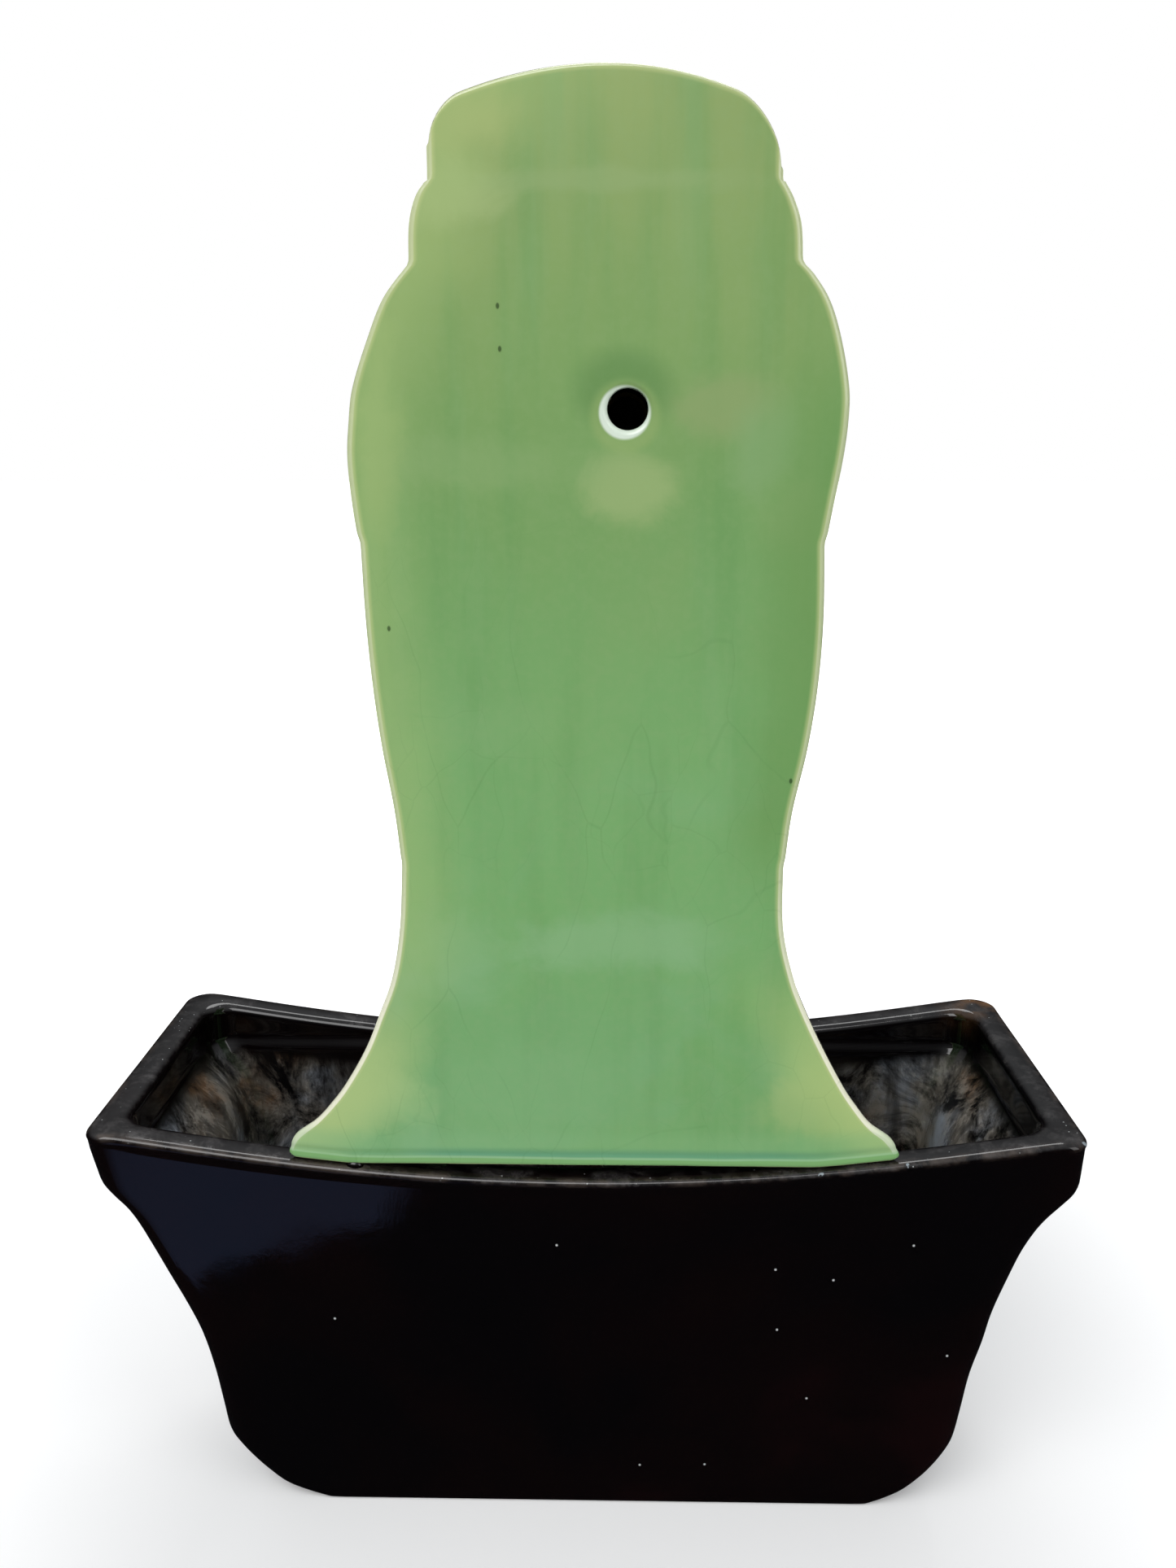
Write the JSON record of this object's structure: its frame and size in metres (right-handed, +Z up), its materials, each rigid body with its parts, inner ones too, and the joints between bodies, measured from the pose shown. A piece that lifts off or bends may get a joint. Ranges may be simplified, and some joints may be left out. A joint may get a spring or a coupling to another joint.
{
  "type": "tabletop fountain",
  "caption": "Two-piece glazed ceramic tabletop fountain: a flat-backed hollow upright with a spout stands in an oblong basin that holds the pump.",
  "frame": {"origin": "centre of the basin's footprint, on the table", "axes": "+Z up; -Y is the upright's flat rear, +Y its spout side; +X is to the right when looking at the flat rear"},
  "size_m": [0.305, 0.1052, 0.438],
  "materials": {
    "black_glaze": "gloss",
    "green_glaze": "gloss",
    "clear_vinyl": "gloss",
    "black_plastic": "satin",
    "brass": "satin",
    "rubber": "matte",
    "lamination": "satin",
    "white_plastic": "satin",
    "copper_wire": "satin",
    "epoxy": "gloss",
    "shaft_ceramic": "satin",
    "ferrite": "matte",
    "grey_plastic": "satin",
    "foam": "matte"
  },
  "bodies": {
    "basin": {"basin": "black_glaze", "pump_housing": "black_plastic", "stator_core": "lamination", "coil_bobbins": "white_plastic", "stator_coils": "copper_wire", "pump_potting": "epoxy", "volute_cover": "black_plastic", "volute_seal": "rubber", "pump_shaft": "shaft_ceramic", "rear_bush": "rubber", "front_bush": "rubber", "thrust_washer": "white_plastic", "suction_cups": "rubber", "cord_gland": "black_plastic"},
    "upright": {"upright": "green_glaze", "riser_tube": "clear_vinyl", "spout_elbow": "black_plastic", "spout": "brass", "spout_grommet": "rubber"},
    "rotor": {"impeller": "white_plastic", "rotor_magnet": "ferrite"},
    "strainer": {"strainer_cover": "black_plastic", "filter_foam": "foam"},
    "dial": {"flow_dial": "grey_plastic"}
  },
  "joints": [
    {"name": "upright_lift", "type": "slide", "parent": "basin", "child": "upright", "axis": [0, 0, 1], "range_m": [0, 0.16]},
    {"name": "rotor_spin", "type": "hinge", "parent": "basin", "child": "rotor", "pos_m": [0, -0.01, 0.03], "axis": [1, 0, 0], "continuous": true},
    {"name": "strainer_slide", "type": "slide", "parent": "basin", "child": "strainer", "axis": [1, 0, 0], "range_m": [0, 0.009]},
    {"name": "dial_turn", "type": "hinge", "parent": "strainer", "child": "dial", "pos_m": [0.026, -0.01, 0.03], "axis": [1, 0, 0], "range_deg": [0, 90]}
  ]
}
